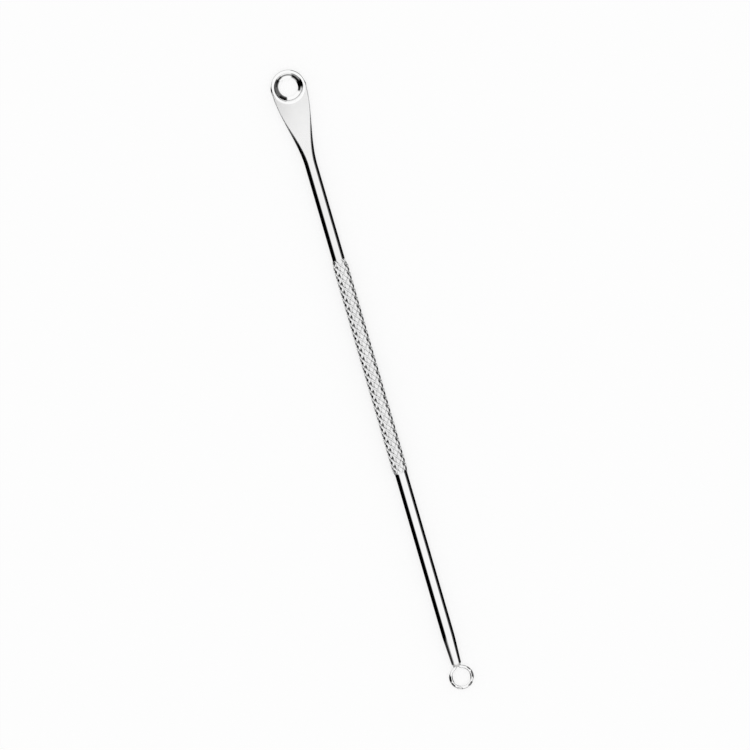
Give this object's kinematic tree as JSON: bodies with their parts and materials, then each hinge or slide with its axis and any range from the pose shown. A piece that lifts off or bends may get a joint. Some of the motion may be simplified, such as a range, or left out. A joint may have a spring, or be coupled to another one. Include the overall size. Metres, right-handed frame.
{
  "type": "blackhead extractor",
  "caption": "Slim steel skin tool: a diamond-knurled grip with a drilled spoon head on one stem and a soldered wire loop on the other.",
  "frame": {"origin": "on the tool's axis, halfway along its overall length", "axes": "+X along the tool towards the spoon head, +Z out of the hollow side of the spoon, Y across the spoon and the loop"},
  "size_m": [0.125, 0.007, 0.0028],
  "materials": {
    "knurled_steel": "polished",
    "polished_steel": "polished",
    "bright_wire": "polished",
    "silver_solder": "satin"
  },
  "bodies": {
    "root": {"knurled_grip": "knurled_steel", "spoon_stem": "polished_steel", "loop_stem": "polished_steel", "wire_loop": "bright_wire", "loop_solder": "silver_solder"}
  },
  "joints": []
}
